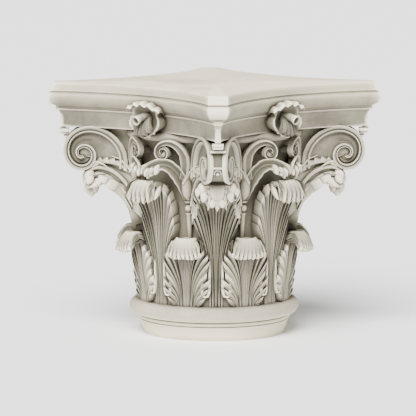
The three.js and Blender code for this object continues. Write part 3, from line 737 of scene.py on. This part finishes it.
def helix_point(across, up, inward):
    """A place on the face of a scroll, which bends round the bell and sinks in away from its eye."""
    radius = HELIX_REACH - inward - 0.25 * np.maximum(0, -across) - 0.2 * np.maximum(0, -up - 25)
    return polar(radius, HELIX_AZIMUTH * DEGREE + across / HELIX_REACH, helix_z + up)


def helix_band():
    """The band's section at each turn of the scroll, drawn in to the eye by shares of its width."""
    width = np.interp(HELIX_TURNS, *np.array(HELIX_WIDTHS).T)
    shares, depths = np.array(HELIX_SECTION).T
    outer = spiral(HELIX_TURNS, HELIX_SPIRAL, HELIX_RADIUS)
    length = np.hypot(*outer)
    keep = np.maximum(length[:, None] - width[:, None] * shares[None], 0.2) / length[:, None]
    return helix_point(outer[0][:, None] * keep, outer[1][:, None] * keep, depths[None])


def helix_field():
    """A sunk disc behind the turns of the scroll."""
    turns = np.linspace(180, -180, 24, endpoint=False)
    outline = spiral(turns, [(-180, 0.8), (0, 0.8), (180, 0.8)], HELIX_RADIUS)
    narrow = [0.55 * side for side in outline]
    return np.stack([helix_point(*outline, 6), helix_point(*outline, 11), helix_point(*narrow, 13),
                     helix_point(*narrow, 42)])


tube(helix_band(), mirror=True)
tube(helix_field(), mirror=True)
print("scroll at height", round(helix_z, 1))

# %% [markdown]
# ## Stalks, calyces and the leaves they send out
#
# Between the leaves stand stalks with a bead between two small collars, and above the bead a calyx
# swells. On a turning lathe they would be one profile each. Here they are rings at listed heights, set
# out from the bell, because the stalk leans away from it as it rises.

# %% Stalks
STALK_AZIMUTH = 20.3
BEAD_RADIUS = 8
lower_crown = leaf_foot + lower_height
bead_z = lower_crown + (bell_top - lower_crown) * 0.30


def stem_rings(stations, sides=14):
    """Round rings at each station, which gives how far its middle stands off the bell, its height and its
    radius; the ring is turned so that it faces out from the axis."""
    out, z, radius = (column[:, None] for column in np.array(stations, float).T)
    turn = np.linspace(0, 2 * math.pi, sides, endpoint=False)[None]
    reach = BELL_RADIUS + out + radius * np.sin(turn)
    return polar(reach, STALK_AZIMUTH * DEGREE + radius * np.cos(turn) / reach, z)


stalk = [(4, lower_crown - 14, 3), (7, bead_z - 28, 5), (8, bead_z - 13, 6), (8, bead_z - 10.4, 7.2),
         (8, bead_z - 8.6, 5)]
bead_turn = np.linspace(-1.2, 1.2, 8)
stalk += [(9, bead_z + BEAD_RADIUS * math.sin(a), BEAD_RADIUS * math.cos(a)) for a in bead_turn]
stalk += [(8, bead_z + 8.8, 5), (8, bead_z + 10.5, 8.6), (9, bead_z + 13, 9.6), (9, bead_z + 15, 8)]
calyx = [(8, bead_z + 13, 6), (11, bead_z + 18, 10), (14, bead_z + 26, 12.5), (16, bead_z + 36, 13.5),
         (18, bead_z + 50, 13), (20, bead_z + 66, 11), (22, bead_z + 84, 8)]
tube(stem_rings(stalk), mirror=True)
tube(stem_rings(calyx, sides=20), mirror=True)
print("bead at height", round(bead_z, 1))

# %% [markdown]
# The calyx sends out a curled leaf towards the middle of the side and a sheath under the volute. A carver
# hollows each between two rolled rims that are lightly toothed. A flat strip could be bent there, but its
# rims would stay thin, so the whole section, rims and hollow together, is carried along the leaf's path.

# %% Leaves of the calyx
LEAFLET_STEPS = 21
CURLED_PATH = [(20.5, 156, 276), (22, 163, 300), (25, 172, 322), (29.5, 181, 338), (34, 189, 341),
               (38.5, 195, 336), (41.5, 197, 327), (42.5, 194, 318)]
SHEATH_PATH = [(19, 155, 272), (17.5, 160, 292), (14.5, 170, 310), (11.5, 184, 324), (8.6, 204, 332),
               (7, 222, 334), (6, 236, 328)]
SHEATH_WIDTH = 15
CURLED_WIDTH = 10.5
CURL_KNOBS = [(35.5, 332, 6.5), (38.8, 328, 7.5), (42.2, 327, 7.5), (45, 331, 6)]
KNOB_REACHES = np.array([184.0, 200.0])


def leaflet(path, width, ends, teeth, ruffle):
    """A hollow strip with rolled rims along a path of azimuth, radius and height. Its half width is width
    times the shares in ends, its edges step in and out teeth times, and its tip is pleated by ruffle."""
    azimuth, radius, z = np.array(path).T
    line = curve(polar(radius, azimuth * DEGREE, z))
    t = np.linspace(0, 1, LEAFLET_STEPS)
    middle, _ = along(line, t)
    facing = middle * [1, 1, 0]
    facing = facing / np.linalg.norm(facing, axis=1, keepdims=True) + [0, 0, 0.35]
    half = width * np.interp(t, np.linspace(0, 1, len(ends)), ends)
    half *= 1 + 0.3 * np.abs(((t * teeth) % 1) - 0.5) * (teeth > 0)
    x = np.array([-1, -0.96, -0.84, -0.6, -0.3, 0, 0.3, 0.6, 0.84, 0.96, 1, 0.6, 0, -0.6])
    top = np.array([0, 3.6, 4.6, -0.5, -3.6, -1.2, -3.6, -0.5, 4.6, 3.6, 0, -7, -8, -7])
    is_front = np.arange(len(x)) < 11
    pleats = ruffle * ease(t, 0.72, 0.95)[:, None] * np.cos(x * 2.5 * math.pi)[None] * is_front
    section = np.stack([half[:, None] * x[None], top[None] + pleats], axis=-1)
    return carried(middle, facing, section)


tube(leaflet(CURLED_PATH, CURLED_WIDTH, [0.6, 1, 1.2, 1.1, 1, 1, 0.8], 7, 1.5), mirror=True)
for azimuth, z, radius in CURL_KNOBS:
    top, foot = polar(KNOB_REACHES, azimuth * DEGREE, np.array([z + 9.0, z - 9.0]))
    tube(knob(top, foot, radius), mirror=True)
tube(leaflet(SHEATH_PATH, SHEATH_WIDTH, [0.5, 0.9, 1, 1, 0.9, 0.6, 0.2], 7, 0), mirror=True)
print("leaflets of", LEAFLET_STEPS, "steps")

# %% [markdown]
# ## Flowers
#
# At the middle of each side of the abacus is a flower: a cup of lower petals with a scalloped rim, a
# trumpet in its middle, and a broad top petal that curls forward over the ovolo. Petals cut from a sheet
# and thickened would need their rims rounded by hand, so each is a run up the front and down the back,
# with its pleats as a cosine across it.

# %% Flowers
FLOWER_HALF_WIDTH = 36
FLOWER_REACH = 26
TOP_PETAL_HALF_WIDTH = 43
flower_z = bell_top + 24
PETAL_HALF_WIDTH = 25
PETAL_ROWS, PETAL_BACK_ROWS = 12, 6
FLUTED_ROWS, FLUTED_BACK_ROWS = 9, 4
PETAL_RUN = np.concatenate([np.linspace(0, 1, PETAL_ROWS), np.linspace(1, 0, PETAL_BACK_ROWS)])
FLUTED_RUN = np.concatenate([np.linspace(0, 1, FLUTED_ROWS), np.linspace(1, 0, FLUTED_BACK_ROWS)])

# Share of the cup's radius, and how far it stands forward there
CUP_SECTION = [(0, 7), (0.2, 5), (0.4, 3), (0.6, 5), (0.75, 9), (0.88, 13), (0.97, 14), (1, 12), (0.94, 6),
               (0.7, -26)]
# How far forward and up each ring of the trumpet is, and its radius: out to the lip and back inside
TRUMPET = [(-8, 7, 8), (14, 7, 7), (27, 4, 7.5), (35, 1, 9), (36.5, 0, 8), (34, 1.5, 6), (26, 4, 5),
           (20, 5, 1)]
# Across, height and radius
FLOWER_BALLS = [(-7, 396, 6.5), (8, 394, 5), (-19, 402, 5), (20, 401, 4.5)]


def flower_cup():
    """Petals round the face's normal: the radius is the cup's share times 0.80, plus 0.17 of the cosine
    that swells at five petals, and the rim is pleated and stands forward."""
    turn = np.linspace(0, 2 * math.pi, 60, endpoint=False)[None]
    s, out = (column[:, None] for column in np.array(CUP_SECTION, float).T)
    petals = np.abs(np.cos(2.5 * (turn + QUARTER)))
    pleats = np.abs(np.cos(12.5 * turn))
    radius = FLOWER_HALF_WIDTH * s * (0.80 + 0.17 * petals + 0.05 * pleats * (s > 0.7))
    lift = out + 4 * petals * s**2 * (out > 0) + 1.6 * pleats * s**2
    return np.stack(np.broadcast_arrays(SIDE_REACH + lift - 4, 1.12 * radius * np.cos(turn),
                                        flower_z + 1 + 0.95 * radius * np.sin(turn)), axis=-1)


def top_petal():
    """A pleated sheet with its thickness behind it. At the share t of its length it has risen by a sine of
    t and stands forward by t to the power 1.5; the pleats are a cosine across it that grows with t."""
    v = np.linspace(-1, 1, 33)[None]
    t = PETAL_RUN[:, None]
    is_back = np.repeat([0, 1], [PETAL_ROWS, PETAL_BACK_ROWS])[:, None]
    pleats = np.cos(v * 4.5 * math.pi) * ease(t, 0.3, 1)
    thick = is_back * (9 - 3 * t)
    rise = 6 + 24 * np.sin(t * 1.9) + 0.87 * thick + 2.4 * pleats
    out = -16 + (FLOWER_REACH + 14) * t**1.5 - 0.5 * thick + 1.5 * pleats - 5 * v**2 * t
    across = TOP_PETAL_HALF_WIDTH * v * (0.6 + 0.4 * t)
    up = flower_z + rise - 13 * v**2
    return np.stack(np.broadcast_arrays(SIDE_REACH + out, across, up), axis=-1)


def trumpet():
    """A tube with an open mouth: round rings that lean a little, out to the lip and back inside it."""
    out, up, radius = (column[:, None] for column in np.array(TRUMPET, float).T)
    turn = np.linspace(0, 2 * math.pi, 20, endpoint=False)[None]
    reach = SIDE_REACH + out + 0.3 * radius * np.sin(turn)
    height = flower_z + up + 0.95 * radius * np.sin(turn)
    return np.stack(np.broadcast_arrays(reach, radius * np.cos(turn), height), axis=-1)


def fluted_petal():
    """A broad petal under the trumpet. At the share t of its length it hangs by t to the power 1.3 and
    stands forward by a sine of t; its flutes are a cosine across it that deepens to a zigzag rim."""
    v = np.linspace(-1, 1, 29)[None]
    t = FLUTED_RUN[:, None]
    is_back = np.repeat([0, 1], [FLUTED_ROWS, FLUTED_BACK_ROWS])[:, None]
    flutes = np.cos(v * 6 * math.pi) * (0.4 + t)
    out = 6 + 20 * np.sin(t * QUARTER) - 9 * t * np.abs(v) ** 2 + 1.6 * flutes - 5 * is_back
    across = PETAL_HALF_WIDTH * v * (0.45 + 0.55 * t)
    up = 8 - 36 * t**1.3 + 12 * t * v**2 + 1.8 * flutes * t - 2 * is_back
    return np.stack(np.broadcast_arrays(SIDE_REACH + out, across, flower_z + up), axis=-1)


tube(flower_cup(), at_corner=False)
petal = top_petal()
carve(petal, *closed_strip(PETAL_RUN, petal.shape[1], PETAL_ROWS), at_corner=False)
lower_petal = fluted_petal()
carve(lower_petal, *closed_strip(FLUTED_RUN, lower_petal.shape[1], FLUTED_ROWS), at_corner=False)
tube(trumpet(), at_corner=False)
for across, z, radius in FLOWER_BALLS:
    ball = knob((SIDE_REACH + 6, across, z + 2), (SIDE_REACH + 11, across, z - 2), radius)
    tube(ball, at_corner=False)
print("flower at height", flower_z)

# %% [markdown]
# ## One mesh
#
# All forms of a casting are one body. A boolean union would cut thousands of slivers where the closed
# shells cross, so they are left to overlap and are joined in one mesh. Points that fall together at the
# poles and seams are welded, so every shell stays closed, and edges sharper than a chisel's round are
# shaded as edges.

# %% Join the shells
WELD_DISTANCE = 1e-6
SHARP_ANGLE = 38


def joined():
    """All points in metres and all faces, each shell's numbered after the ones before it."""
    starts = np.cumsum([0] + [len(points) for points, _, _ in shells[:-1]])
    points = np.concatenate([points for points, _, _ in shells]) * METRES
    faces = np.concatenate([faces + start for (_, faces, _), start in zip(shells, starts)])
    sides = np.concatenate([sides + start for (_, _, sides), start in zip(shells, starts)])
    return points, faces.tolist() + sides.tolist()


points, faces = joined()
mesh = bpy.data.meshes.new("capital_casting")
mesh.from_pydata(points, [], faces)
welded = bmesh.new()
welded.from_mesh(mesh)
bmesh.ops.remove_doubles(welded, verts=welded.verts, dist=WELD_DISTANCE)
welded.to_mesh(mesh)
open_edges = sum(len(edge.link_faces) != 2 for edge in welded.edges)
welded.free()
mesh.validate()
mesh.polygons.foreach_set("use_smooth", np.ones(len(mesh.polygons), bool))
mesh.set_sharp_from_angle(angle=SHARP_ANGLE * DEGREE)
casting = bpy.data.objects.new("capital_casting", mesh)
bpy.context.scene.collection.objects.link(casting)
mesh.calc_loop_triangles()
print("casting", len(mesh.loop_triangles), "triangles,", open_edges, "open edges")

# %% [markdown]
# ## Finish
#
# Cast stone: fine powder in resin, pressed in a mould, washed with grey and rubbed back. It is matt and
# cream where no wash stays, pale on the rubbed edges with a painted highlight on them, grey where the wash
# stays, and painted shade darkens the hollows. Painted maps would need unwrapping. Here the height, the
# bend of the surface and the sky that a point sees drive the colour, so the finish follows the carving
# wherever that is changed.

# %% Cast stone
def colour(code):
    """A hex sRGB colour as linear red, green, blue and alpha."""
    parts = [int(code[i:i + 2], 16) / 255 for i in (1, 3, 5)]
    return [(c / 12.92 if c <= 0.04045 else ((c + 0.055) / 1.055) ** 2.4) for c in parts] + [1]


def add(tree, kind, settings, inputs):
    """Adds a node with its settings; an input is a value or the socket that feeds it."""
    node = tree.nodes.new(kind)
    for name, value in settings.items():
        setattr(node, name, value)
    for name, value in inputs.items():
        if isinstance(value, bpy.types.NodeSocket):
            tree.links.new(value, node.inputs[name])
        else:
            node.inputs[name].default_value = value
    return node


# A colour mix's sockets for colour share their names with its sockets for numbers, so a number picks them
UNDER, OVER, MIXED = 6, 7, 2

# Sizes in millimetres: clouds in the mix, patches of wash, its level streaks (wide and high), and grain.
# Real powder is about 0.3 mm; the grain is drawn eight times coarser, or it wouldn't show.
CLOUD_SIZE = 38.5
PATCH_SIZE = 111
STREAK_SIZE = (200, 15.4)
GRAIN_SIZE = 2.38
GRAIN_DEPTH = 0.6

# Height in metres, and how much of the grey wash stays there: little on the collar, none on the top
WASH = [(0, 0), (0.034, 0.1), (0.05, 0.55), (0.075, 0.72), (0.2, 0.78), (0.3, 0.92), (0.38, 0.95),
        (0.42, 0.85), (0.455, 0.62), (0.478, 0.4), (0.4838, 0.2), (0.4848, 0), (1, 0)]

# Painted shade in the hollows: reach of the hollows in millimetres, the open sky where the painted shade is
# darkest and where it ends, and its tint
PAINTED_SHADE = [(100, 0.2, 0.9, "#67614F"), (30, 0.15, 0.9, "#5E5848"), (7, 0.3, 0.94, "#2B2822")]


def scale_for(size):
    """A pattern's scale in repeats per metre, for a size in millimetres."""
    return 1000 / size


def cast_stone():
    """Cast stone as it leaves the mould, washed and rubbed. The eye gets a soft matt cream without shine,
    clouded by the mix, with a grey film in patches and level streaks, a painted highlight on rubbed edges,
    and painted shade in the hollows."""
    material = bpy.data.materials.new("cast_stone_moulded")
    material.use_nodes = True
    tree = material.node_tree
    tree.nodes.clear()
    colours = {"data_type": "RGBA"}
    place = add(tree, "ShaderNodeTexCoord", {}, {}).outputs["Object"]
    height = add(tree, "ShaderNodeSeparateXYZ", {}, {"Vector": place}).outputs["Z"]

    # The powder's own cream, clouded
    clouds = add(tree, "ShaderNodeTexNoise", {}, {
        "Vector": place, "Scale": scale_for(CLOUD_SIZE), "Detail": 6, "Roughness": 0.68})
    stone = add(tree, "ShaderNodeMix", colours, {
        "Factor": clouds.outputs["Fac"], UNDER: colour("#D6CBAC"), OVER: colour("#EADFC2")})

    # The wash, by height and in patches
    washed = add(tree, "ShaderNodeFloatCurve", {}, {"Value": height, "Factor": 1.0})
    line = washed.mapping.curves[0]
    for z, share in WASH[1:-1]:
        line.points.new(z, share)
    line.points[0].location, line.points[-1].location = WASH[0], WASH[-1]
    washed.mapping.update()
    patches = add(tree, "ShaderNodeTexNoise", {}, {
        "Vector": place, "Scale": scale_for(PATCH_SIZE), "Detail": 6, "Roughness": 0.65})
    patchy = add(tree, "ShaderNodeMapRange", {}, {
        "Value": patches.outputs["Fac"],
        "From Min": 0.32, "From Max": 0.68, "To Min": 0.78, "To Max": 1.22})
    left = add(tree, "ShaderNodeMath", {"operation": "MULTIPLY"}, {
        0: washed.outputs[0], 1: patchy.outputs[0]})
    base = add(tree, "ShaderNodeMix", colours, {
        "Factor": left.outputs[0], UNDER: stone.outputs[MIXED], OVER: colour("#615D4F")})

    # Level streaks where it ran and was wiped
    wide, high = STREAK_SIZE
    level = add(tree, "ShaderNodeMapping", {}, {"Vector": place, "Scale": (1, 1, wide / high)})
    lines = add(tree, "ShaderNodeTexNoise", {}, {
        "Vector": level.outputs["Vector"], "Scale": scale_for(wide), "Detail": 5})
    streak = add(tree, "ShaderNodeMapRange", {}, {
        "Value": lines.outputs["Fac"], "From Min": 0.57, "From Max": 0.72, "To Min": 0, "To Max": 0.6})
    streaked = add(tree, "ShaderNodeMix", colours, {
        "Factor": streak.outputs[0], UNDER: base.outputs[MIXED], OVER: colour("#6A6452")})

    # Edges rubbed back to bare stone, and a painted highlight: convex edges and knobs are mixed towards a
    # cream paler than the stone
    bend = add(tree, "ShaderNodeNewGeometry", {}, {}).outputs["Pointiness"]
    worn_and_highlight = add(tree, "ShaderNodeMapRange", {}, {
        "Value": bend, "From Min": 0.51, "From Max": 0.575, "To Min": 0, "To Max": 0.85})
    rubbed_and_highlit = add(tree, "ShaderNodeMix", colours, {
        "Factor": worn_and_highlight.outputs[0], UNDER: streaked.outputs[MIXED], OVER: colour("#FFF5DB")})

    # Painted shade where little sky is seen, from the wide hollows to the finest
    shade = rubbed_and_highlit.outputs[MIXED]
    for reach, least, most, tint in PAINTED_SHADE:
        sky = add(tree, "ShaderNodeAmbientOcclusion", {"samples": 8, "only_local": True}, {
            "Distance": reach / 1000})
        shade_share = add(tree, "ShaderNodeMapRange", {}, {
            "Value": sky.outputs["AO"], "From Min": least, "From Max": most, "To Min": 0.75, "To Max": 0})
        painted_shade_mix = add(tree, "ShaderNodeMix", colours, {
            "Factor": shade_share.outputs[0], UNDER: shade, OVER: colour(tint)})
        shade = painted_shade_mix.outputs[MIXED]

    grain = add(tree, "ShaderNodeTexNoise", {}, {
        "Vector": place, "Scale": scale_for(GRAIN_SIZE), "Detail": 3})
    bump = add(tree, "ShaderNodeBump", {}, {
        "Height": grain.outputs["Fac"], "Strength": 0.12, "Distance": GRAIN_DEPTH / 1000})
    shader = add(tree, "ShaderNodeBsdfPrincipled", {}, {
        "Base Color": shade, "Roughness": 0.78, "IOR": 1.48, "Normal": bump.outputs["Normal"]})
    add(tree, "ShaderNodeOutputMaterial", {}, {"Surface": shader.outputs["BSDF"]})
    return material


casting.data.materials.append(cast_stone())
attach(casting, "root")
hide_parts("capital")
finish = casting.data.materials[0]
print("finish", finish.name, "with", len(finish.node_tree.nodes), "nodes")

# %% [markdown]
# ## Studio
#
# A pale floor and soft light from above and in front, as in a catalogue picture. One wide far lamp and an
# even sky give the same soft shadows as a row of soft boxes would, with less to place. The camera stands
# where the photo's did: nearly level with the capital, facing one corner, with a long lens.

# %% Floor, lights and camera
CAMERA_DISTANCE = 6.968
CAMERA_AZIMUTH = 43.66
CAMERA_ELEVATION = 7.14
PICTURE = 416
FOCAL_PIXELS = 3602
SENSOR = 36
AXIS_PIXEL = (214.2, 206.1)
FLOOR_REACH = 14
VIEW_REACH = 60
KEY_PLACE = (0.75, -1.4, 2.1)
KEY_SPREAD = 40
KEY_POWER = 9.2
SKY_POWER = 0.45


def floor():
    """A wide plain plate under the capital."""
    plate = bpy.data.meshes.new("floor")
    size = FLOOR_REACH
    corners = [(-size, -size, 0), (size, -size, 0), (size, size, 0), (-size, size, 0)]
    plate.from_pydata(corners, [], [(0, 1, 2, 3)])
    paper = bpy.data.materials.new("paper_matt")
    paper.use_nodes = True
    shader = paper.node_tree.nodes["Principled BSDF"]
    shader.inputs["Base Color"].default_value = colour("#FFFFFF")
    shader.inputs["Roughness"].default_value = 0.9
    plate.materials.append(paper)
    thing = bpy.data.objects.new("floor", plate)
    bpy.context.scene.collection.objects.link(thing)


def aimed(data, place, target):
    """An object at a place that looks at a target."""
    thing = bpy.data.objects.new(data.name, data)
    bpy.context.scene.collection.objects.link(thing)
    thing.location = place
    thing.rotation_euler = (Vector(target) - Vector(place)).to_track_quat("-Z", "Y").to_euler()
    return thing


def daylight(name, place, spread, power):
    """A far soft light, as wide as its spread in degrees, aimed from a place at the middle."""
    lamp = bpy.data.lights.new(name, "SUN")
    lamp.angle = spread * DEGREE
    lamp.energy = power
    aimed(lamp, place, (0, 0, middle_height))


def camera():
    """A long lens at the photo's place; its shift puts the axis on its column of the picture."""
    azimuth, elevation = CAMERA_AZIMUTH * DEGREE, CAMERA_ELEVATION * DEGREE
    level = CAMERA_DISTANCE * math.cos(elevation)
    place = (level * math.sin(azimuth), -level * math.cos(azimuth),
             middle_height + CAMERA_DISTANCE * math.sin(elevation))
    lens = bpy.data.cameras.new("camera")
    lens.sensor_width = SENSOR
    lens.lens = FOCAL_PIXELS * SENSOR / PICTURE
    lens.shift_x = (PICTURE / 2 - AXIS_PIXEL[0]) / PICTURE
    lens.shift_y = (AXIS_PIXEL[1] - PICTURE / 2) / PICTURE
    lens.clip_end = VIEW_REACH
    bpy.context.scene.camera = aimed(lens, place, (0, 0, middle_height))


middle_height = HEIGHT * METRES / 2
floor()
daylight("key", KEY_PLACE, KEY_SPREAD, KEY_POWER)
world = bpy.data.worlds.new("studio")
world.use_nodes = True
sky = world.node_tree.nodes["Background"].inputs
sky["Color"].default_value = colour("#FFFFFF")
sky["Strength"].default_value = SKY_POWER
bpy.context.scene.world = world
camera()
print("camera", CAMERA_DISTANCE, "m from the axis, lens", round(FOCAL_PIXELS * SENSOR / PICTURE), "mm")
